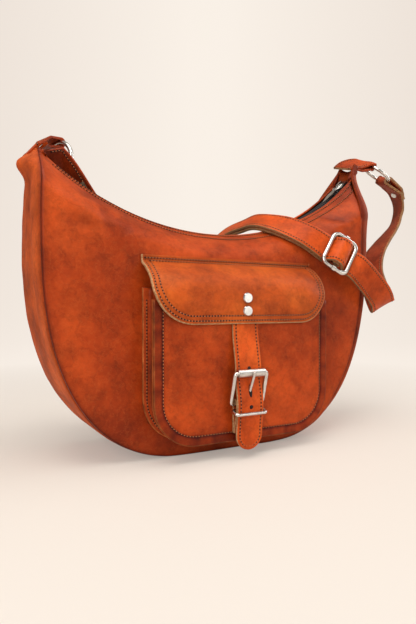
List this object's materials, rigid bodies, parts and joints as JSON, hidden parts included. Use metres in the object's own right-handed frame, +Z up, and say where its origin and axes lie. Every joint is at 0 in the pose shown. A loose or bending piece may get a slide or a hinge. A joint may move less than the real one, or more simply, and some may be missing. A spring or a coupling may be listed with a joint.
{
  "type": "half moon bag",
  "caption": "Half moon leather shoulder bag with curved zip mouth, buckled front pocket, ring tabs and an adjustable strap.",
  "frame": {"origin": "centre of the flat base on which the bag stands, halfway between front and back panel", "axes": "+X to the viewer's right along the bag's length, +Y to the back, +Z up"},
  "size_m": [0.4527, 0.1738, 0.2994],
  "materials": {
    "leather": "semi-matte waxed tan leather",
    "leather_edge": "semi-matte tan leather with raw cut edges",
    "lining": "woven cotton lining",
    "zip_tape": "black woven tape",
    "zip_teeth": "black moulded coil",
    "nickel": "polished nickel plate"
  },
  "bodies": {
    "bag": {"front_panel": "leather", "back_panel": "leather", "gusset": "leather", "lining_front": "lining", "lining_back": "lining", "lining_gusset": "lining", "zip_tape_front": "zip_tape", "zip_tape_back": "zip_tape", "zip_chain": "zip_teeth", "zip_stops": "nickel", "pocket_front": "leather", "pocket_gusset": "leather", "flap_edge": "leather_edge", "buckle_chape": "leather", "ring_tab_left": "leather", "ring_tab_right": "leather", "shoulder_strap": "leather_edge", "strap_rivet": "nickel"},
    "flap": {"pocket_flap": "leather_edge", "flap_rivets": "nickel", "closure_strap": "leather_edge"},
    "buckle": {"buckle_frame": "nickel"},
    "roller": {"buckle_roller": "nickel"},
    "tongue": {"buckle_tongue": "nickel"},
    "keeper": {"strap_keeper": "nickel"},
    "left_ring": {"ring_left": "nickel"},
    "right_ring": {"ring_right": "nickel"},
    "slider": {"zip_slider": "nickel"},
    "link": {"zip_link": "nickel"},
    "puller": {"zip_puller": "nickel"},
    "adjuster": {"adjuster_frame": "nickel"},
    "adjuster_bar": {"adjuster_bar": "nickel"}
  },
  "joints": [
    {"name": "flap_hinge", "type": "hinge", "parent": "bag", "child": "flap", "pos_m": [0.003, -0.04645, 0.16651], "axis": [-1, 0, 0], "range_deg": [0, 75], "deforming": ["closure_strap"]},
    {"name": "buckle_hinge", "type": "hinge", "parent": "bag", "child": "buckle", "pos_m": [-0.001, -0.07538, 0.047], "axis": [1, 0, 0], "range_deg": [0, 40]},
    {"name": "roller_spin", "type": "hinge", "parent": "buckle", "child": "roller", "pos_m": [-0.001, -0.08246, 0.07305], "axis": [1, 0, 0], "continuous": true},
    {"name": "tongue_hinge", "type": "hinge", "parent": "buckle", "child": "tongue", "pos_m": [-0.001, -0.07538, 0.047], "axis": [1, 0, 0], "range_deg": [0, 38]},
    {"name": "keeper_swing", "type": "hinge", "parent": "bag", "child": "keeper", "pos_m": [-0.001, -0.07538, 0.04134], "axis": [-1, 0, 0], "range_deg": [0, 20]},
    {"name": "left_ring_swing", "type": "hinge", "parent": "bag", "child": "left_ring", "pos_m": [-0.13218, 0.03803, 0.2785], "axis": [-0.4384, 0.8988, 0], "range_deg": [-15, 15], "deforming": ["ring_tab_left", "shoulder_strap"]},
    {"name": "right_ring_swing", "type": "hinge", "parent": "bag", "child": "right_ring", "pos_m": [0.21189, 0, 0.292], "axis": [0.171, 0.9397, 0.2962], "range_deg": [-25, 25], "deforming": ["ring_tab_right"]},
    {"name": "zip_travel", "type": "hinge", "parent": "bag", "child": "slider", "pos_m": [0, 0, 0.448], "axis": [0, 1, 0], "range_deg": [0, 73.2], "deforming": ["zip_tape_front", "zip_tape_back", "zip_chain"]},
    {"name": "link_swing", "type": "hinge", "parent": "slider", "child": "link", "pos_m": [0.16962, 0, 0.26462], "axis": [0, 1, 0], "range_deg": [0, 90]},
    {"name": "puller_swing", "type": "hinge", "parent": "link", "child": "puller", "pos_m": [0.16302, 0, 0.25851], "axis": [0, 1, 0], "range_deg": [0, 50]},
    {"name": "adjuster_slide", "type": "slide", "parent": "bag", "child": "adjuster", "axis": [0.8003, -0.2801, -0.5302], "range_m": [-0.012, 0.012]},
    {"name": "bar_slide", "type": "slide", "parent": "adjuster", "child": "adjuster_bar", "axis": [0.8003, -0.2801, -0.5302], "range_m": [-0.003, 0.003]}
  ]
}
